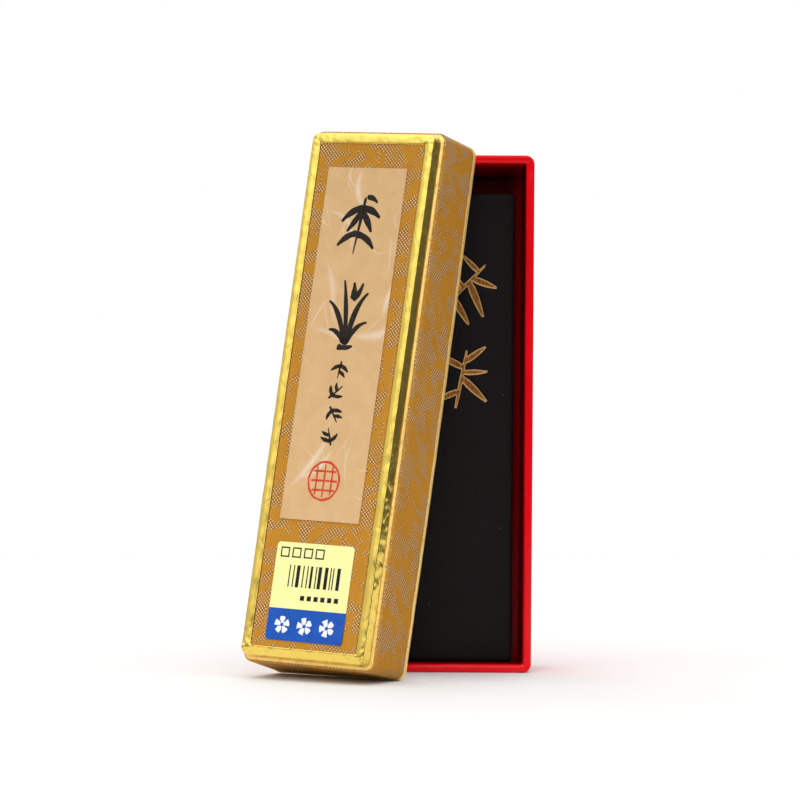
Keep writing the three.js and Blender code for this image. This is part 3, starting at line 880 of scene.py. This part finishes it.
def fibre_amounts(places, width, height):
    """How much fibre there is at each place on the label, from 0 to 1."""
    amounts = np.zeros(len(places))
    margin = 1.5
    for path, half_width, strength in fibre_paths(width, height):
        near = np.all((places > path.min(axis=0) - margin) & (places < path.max(axis=0) + margin), axis=1)
        gaps = np.linalg.norm(places[near][:, None, :] - path[None, :, :], axis=2)
        share = gaps.argmin(axis=1) / (len(path) - 1)
        taper = np.sin(np.pi * np.clip(share, 0.02, 0.98)) ** 0.5
        amount = strength * taper * np.exp(-(gaps.min(axis=1) / (half_width * taper)) ** 2)
        amounts[near] = np.maximum(amounts[near], amount)
    return amounts


def title_label():
    """The paper slip with the title, on a fine grid that carries its fibres. Its corners lift a little."""
    low, high = lid_box("title_label")
    width, height = high[0] - low[0], high[2] - low[2]
    spacing = 0.15
    columns, rows = round(width / spacing), round(height / spacing)
    grid = np.meshgrid(np.linspace(0, width, columns), np.linspace(0, height, rows))
    x, z = (values.ravel() for values in grid)
    fibre = fibre_amounts(np.stack([x, z], axis=1), width, height)
    lift = 0.05 * ripple(np.minimum(x, width - x) + np.minimum(z, height - z), 2.5, 0.0)
    waves = 0.01 * unevenness(np.column_stack([x, z, 0 * x]), 7.0)
    top = np.column_stack([x + low[0], low[1] - lift + waves - 0.012 * fibre, z + low[2]])
    index = np.arange(rows * columns).reshape(rows, columns)
    rim = np.concatenate([index[0, :-1], index[:-1, -1], index[-1, :0:-1], index[:0:-1, 0]])
    under = top[rim].copy()
    under[:, 1] = high[1]
    points = np.concatenate([top, under])
    under_rim = np.arange(len(top), len(points))
    edges = np.stack([rim, np.roll(rim, -1), np.roll(under_rim, -1), under_rim], axis=1)
    faces = grid_faces(rows, columns, False, False) + edges.tolist() + [under_rim.tolist()]
    flat = points[:, [0, 2, 1]] * [1, 1, 0]
    add_piece("title_slip", points, faces, WASHI, "lid", "title_paper", ["title_label"],
              {"flat": flat, "fibre": np.concatenate([fibre, np.zeros(len(rim))])}, crease=30)


# A line of ink across: where each corner is to the side, and how high it stands.
INK_SECTION = [(-1, 0), (-0.55, 1), (0.55, 1), (1, 0), (0, -0.4)]
RING_SECTION = [(-1, 0), (-0.5, 1), (0.5, 1), (1, 0), (0, -0.4)]


def stroke(start, middle, end, width, level, blunt=0.25, height=0.05):
    """One brush stroke on a sheet whose face is at a level: a thin closed ribbon that swells and tapers to a
    blunt share of its width."""
    share = np.linspace(0, 1, 25)
    start, middle, end = (np.array(point, float) for point in (start, middle, end))
    path = curve(start, middle, end, share[:, None])
    along = np.gradient(path, axis=0)
    along /= np.linalg.norm(along, axis=1)[:, None]
    beside = np.stack([-along[:, 1], along[:, 0]], axis=1)
    body = np.sqrt(1 - (1 - np.minimum(share / 0.12, 1)) ** 2)
    half = width / 2 * body * (blunt + (1 - blunt) * np.sqrt(1 - share)) + 0.015
    half = half * (1 + 0.12 * np.sin(9 * share + start[0]))
    rows = []
    for side, rise in INK_SECTION:
        edge = path + beside * (half * side)[:, None]
        rows.append(np.insert(edge, 1, level - height * rise, axis=1))
    points = np.stack(rows, axis=1).reshape(-1, 3)
    ends = [list(range(len(rows))), list(range(len(points) - len(rows), len(points)))]
    return points, grid_faces(len(share), len(rows), False, True) + ends


def joined(parts):
    """Several closed shapes as one list of points and faces."""
    points = []
    faces = []
    count = 0
    for part, part_faces in parts:
        points.append(part)
        faces += [[count + corner for corner in face] for face in part_faces]
        count += len(part)
    return np.concatenate(points), faces


# Brush drawings in a square from -1 to 1: each stroke's start, bend and end, and its width.
BAMBOO = [
    ((0.15, 1.0), (0.05, 0.3), (-0.12, -1.0), 0.12),
    ((0.10, 0.62), (-0.45, 0.55), (-0.85, 0.12), 0.26),
    ((0.08, 0.58), (0.50, 0.62), (0.92, 0.28), 0.28),
    ((0.05, 0.52), (-0.20, 0.15), (-0.55, -0.22), 0.24),
    ((0.05, 0.50), (0.38, 0.20), (0.60, -0.22), 0.27),
    ((-0.04, -0.28), (-0.50, -0.30), (-0.92, -0.72), 0.25),
    ((-0.04, -0.32), (0.45, -0.35), (0.80, -0.80), 0.26),
    ((0.20, 0.98), (0.50, 1.02), (0.72, 0.80), 0.20),
]
ORCHID = [
    ((0.0, -0.95), (-0.35, 0.1), (-0.95, 0.35), 0.22),
    ((0.05, -0.95), (-0.1, 0.3), (-0.35, 0.98), 0.20),
    ((0.10, -0.95), (0.2, 0.2), (0.85, 0.62), 0.24),
    ((0.08, -0.92), (0.4, -0.3), (0.95, -0.25), 0.20),
    ((-0.02, -0.90), (-0.4, -0.45), (-0.80, -0.50), 0.20),
    ((0.10, 0.42), (0.22, 0.62), (0.12, 0.92), 0.24),
    ((0.14, 0.40), (0.42, 0.55), (0.55, 0.90), 0.22),
    ((-0.30, -0.98), (0.0, -1.06), (0.42, -0.96), 0.22),
]
SPRIG = [
    ((0.1, 0.9), (0.0, 0.2), (-0.1, -0.9), 0.16),
    ((0.05, 0.4), (-0.4, 0.35), (-0.8, -0.1), 0.30),
    ((0.05, 0.4), (0.45, 0.3), (0.8, -0.2), 0.32),
    ((0.0, -0.2), (0.3, -0.3), (0.55, -0.75), 0.28),
]


def drawing(strokes, centre, half_width, half_height, level, turn=0.0, weight=1.0):
    """Brush strokes laid on a sheet about a centre."""
    cosine, sine = math.cos(turn), math.sin(turn)

    def placed(point):
        x, z = point[0] * cosine - point[1] * sine, point[0] * sine + point[1] * cosine
        return centre[0] + x * half_width, centre[1] + z * half_height

    return [stroke(placed(start), placed(bend), placed(end), width * half_width * weight, level)
            for start, bend, end, width in strokes]


def ring_of_ink(centre, radius, band, level, height=0.03):
    """A flat, slightly uneven ring with a softly rounded section."""
    turns = np.linspace(0, math.tau, 97)[:-1]
    rows = []
    for side, rise in RING_SECTION:
        reach = radius + side * band / 2 + 0.04 * np.sin(5 * turns + side) + 0.03 * np.sin(11 * turns)
        rows.append(np.column_stack([centre[0] + reach * np.cos(turns),
                                     np.full(len(turns), level - height * rise),
                                     centre[1] + reach * np.sin(turns)]))
    points = np.stack(rows, axis=1).reshape(-1, 3)
    return points, grid_faces(len(turns), len(rows), True, True)


def label_marks():
    """Two brush drawings and a short column of leaves stand where a title would, with a round seal below."""
    low, high = lid_box("title_label")
    middle = low[0] + 0.49 * (high[0] - low[0])
    level = low[1] - 0.01
    height = high[2] - low[2]
    marks = drawing(BAMBOO, (middle, low[2] + 0.835 * height), 5.0, 6.0, level, weight=1.25)
    marks += drawing(ORCHID, (middle + 0.2, low[2] + 0.585 * height), 5.0, 7.0, level, weight=1.2)
    for number, turn in enumerate((0.0, 2.5, 0.6, 3.5)):
        centre = (middle + 0.1 * (-1) ** number, low[2] + (0.425 - 0.063 * number) * height)
        marks += drawing(SPRIG, centre, 2.5, 2.05, level, turn, weight=1.25)
    add_piece("label_drawing", *joined(marks), BRUSH_INK, "lid", "ink")
    label_seal((middle, low[2] + 0.112 * height), level)


def label_seal(centre, level):
    """A ring with a lattice in it, a little narrower than it is tall."""
    radius = 3.9
    seal = [ring_of_ink(centre, radius, 0.5, level)]
    for offset in (-0.5, 0.0, 0.5):
        reach = math.sqrt(1 - offset ** 2) * radius - 0.45
        for turned in (False, True):
            ends = [(offset * radius, -reach), (offset * radius + 0.12, 0.0), (offset * radius, reach)]
            ends = [(z, x) if turned else (x, z) for x, z in ends]
            ends = [(centre[0] + x, centre[1] + z) for x, z in ends]
            seal.append(stroke(*ends, 0.42, level, blunt=0.9, height=0.03))
    points, faces = joined(seal)
    points[:, 0] = centre[0] + SEAL_WIDTH_SHARE * (points[:, 0] - centre[0])
    add_piece("label_seal", points, faces, SEAL_INK, "lid", "title_paper")


# ---- Price sticker ----

STICKER_LIFT = 0.22
STICKER_BLUE_SHARE = 0.325


def price_sticker():
    """A rounded sticker, pale yellow over blue, with one corner just lifting."""
    low, high = lid_box("price_sticker")
    skin, points = flat_sheet(low, high, low[1], 0.03, ([0, 0.8], [0.8, 0.3]), step=0.5, half_strip=0.3)
    to_corner = np.hypot(points[:, 0] - high[0], points[:, 2] - low[2])
    points[:, 1] -= STICKER_LIFT * ripple(to_corner, 4.0, 0.0)
    flat = points[:, [0, 2, 1]] * [1, 1, 0]
    split = low[2] + STICKER_BLUE_SHARE * (high[2] - low[2])
    add_piece("sticker", points, skin.shell(), sticker_paper(split), "lid", "sticker_paper",
              ["price_sticker"], {"flat": flat})
    sticker_bars(low, high, low[1] - 0.005)
    sticker_blossoms(low, split, low[1] - 0.005)


def block(low_x, high_x, low_z, high_z, level):
    """A printed rectangle: a very thin box whose face is slightly smaller than its foot."""
    points = []
    for inset, y in ((0.0, level + 0.01), (0.02, level - 0.015)):
        points += [(low_x + inset, y, low_z + inset), (high_x - inset, y, low_z + inset),
                   (high_x - inset, y, high_z - inset), (low_x + inset, y, high_z - inset)]
    return np.array(points), grid_faces(2, 4, False, True) + [[0, 1, 2, 3], [4, 5, 6, 7]]


def sticker_bars(low, high, level):
    """Four open squares, a row of bars and six dots stand where the price would be."""
    draw = random.Random(3)
    blocks = []
    square, line = 2.1, 0.3
    inner = square - line
    for number in range(4):
        x, z = low[0] + 1.0 + 2.75 * number, low[2] + 16.9
        blocks += [block(x, x + square, z + rise, z + rise + line, level) for rise in (0, inner)]
        blocks += [block(x + side, x + side + line, z + line, z + inner, level) for side in (0, inner)]
    x = low[0] + 3.6
    while x < high[0] - 2.6:
        width = draw.choice((0.28, 0.28, 0.55, 0.8))
        blocks.append(block(x, x + width, low[2] + 10.9, low[2] + 15.4, level))
        x += width + draw.choice((0.35, 0.5, 0.7))
    for number in range(6):
        x = low[0] + 7.0 + 1.6 * number
        blocks.append(block(x, x + 1.0, low[2] + 8.3, low[2] + 9.3, level))
    add_piece("sticker_bars", *joined(blocks), PRINT_BLACK, "lid", "sticker_paper")


def sticker_blossoms(low, split, level):
    """Three blossoms stand where a name would be, each with five petals drawn towards its centre."""
    petals = []
    for number in range(3):
        centre = np.array([low[0] + 3.6 + 5.3 * number, (low[2] + split) / 2 - 0.1])
        for petal in range(5):
            angle = math.tau * petal / 5 + math.pi / 2 + 0.2 * number
            outward = np.array([math.cos(angle), math.sin(angle)])
            tip = centre + 1.75 * outward
            root = centre + 0.35 * outward
            petals.append(stroke(tip, (root + tip) / 2, root, 1.35, level, blunt=0.15, height=0.02))
    add_piece("sticker_blossoms", *joined(petals), PRINT_WHITE, "lid", "sticker_paper")


# ---- Boards that stay as the CAD made them ----

def finish_boards():
    """Gives these boards their grey pulp."""
    for board in ("tray_base", "tray_left_wall", "tray_right_wall", "tray_head_wall", "tray_foot_wall",
                  "lid_top", "lid_head_wall", "raised_panel"):
        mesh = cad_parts[board + "_board"].data
        mesh.materials.clear()
        mesh.materials.append(BOARD)


# ---- Stage ----

def add_camera():
    """A long lens, tilted down and rolled a little, as the photograph's was."""
    pitch, roll = math.radians(1.45), math.radians(0.37)
    data = bpy.data.cameras.new("camera")
    data.sensor_width = 36
    data.lens = 176.8
    data.clip_end = 10
    camera = add_object("camera", data)
    turned = Matrix.Rotation(math.pi / 2 - pitch, 4, "X") @ Matrix.Rotation(roll, 4, "Z")
    camera.matrix_world = Matrix.Translation((-0.01347, -0.82065, 0.0769)) @ turned
    bpy.context.scene.camera = camera


def add_floor():
    """A round white table top, matt, just large enough to catch every shadow."""
    turns = np.linspace(0, math.tau, 97)[:-1]
    reach = 0.36
    rim = [(reach * math.cos(turn), reach * math.sin(turn), 0) for turn in turns]
    mesh = bpy.data.meshes.new("floor")
    mesh.from_pydata(rim, [], [list(range(len(rim)))])
    s = Surface("floor")
    place = s.place()
    colour = s.blend(s.noise(place, 60.0), (0.77, 0.765, 0.76), (0.80, 0.795, 0.79))
    mesh.materials.append(s.finish(Base_Color=colour, Roughness=0.9, Specular_IOR_Level=0.0))
    add_object("floor", mesh)


# Soft lights all round: each one's direction, the cosines where it starts and is full, and its strength.
LIGHTS = [
    ((-0.15, 0.95, 0.30), 0.42, 0.80, 1.15),
    ((-0.90, -0.25, 0.38), 0.84, 0.985, 0.70),
    ((-0.35, -0.55, 0.76), 0.70, 0.95, 1.20),
    ((-0.10, -0.10, 0.99), 0.40, 0.95, 0.90),
    ((0.60, -0.35, 0.72), 0.76, 0.95, 0.72),
    ((0.03, -0.93, 0.35), 0.955, 0.985, 1.6),
    ((0.90, 0.20, 0.30), 0.40, 0.90, 0.24),
]
FAINT_LIGHT = 0.06


def add_studio():
    """White light, strongest from behind and above, with soft lights in front and on the left, a small one
    low in front and hardly any on the right. It fades towards the horizon. The camera sees plain white."""
    world = bpy.data.worlds.new("studio")
    bpy.context.scene.world = world
    world.use_nodes = True
    s = Nodes(world.node_tree)
    direction = s.add("TexCoord").outputs["Generated"]
    total = FAINT_LIGHT
    for towards, rim, core, strength in LIGHTS:
        nearness = s.dot(direction, Vector(towards).normalized())
        total = s.plus(s.remap(nearness, rim, core, 0.0, strength, kind="SMOOTHSTEP"), total)
    height = s.add("SeparateXYZ", {0: direction}).outputs["Z"]
    dimmed = s.times(total, s.remap(height, -0.02, 0.25, 0.4, 1.0, kind="SMOOTHSTEP"))
    seen = s.add("LightPath").outputs["Is Camera Ray"]
    background = world.node_tree.nodes["Background"]
    s.put(s.math("MAXIMUM", dimmed, seen), background.inputs["Strength"])
    s.put((1, 1, 1, 1), background.inputs["Color"])


add_camera()
add_floor()
add_studio()
bpy.context.scene.view_settings.view_transform = "Standard"

tray_paper()
tray_floor_paper()
stick_body()
gilt_mark("gilt_upper", "upper_gilt_mark")
gilt_mark("gilt_lower", "lower_gilt_mark")
lid_brocade()
rim_foil()
lid_lining()
for board_side, board_axis, board_pieces in (("left", 2, 24), ("right", 2, 24), ("foot", 0, 12)):
    bowed_board(f"lid_{board_side}_board", f"lid_{board_side}_wall_board", board_axis, board_pieces)
backing_sheet()
gold_frame()
panel_brocade()
title_label()
label_marks()
price_sticker()
finish_boards()
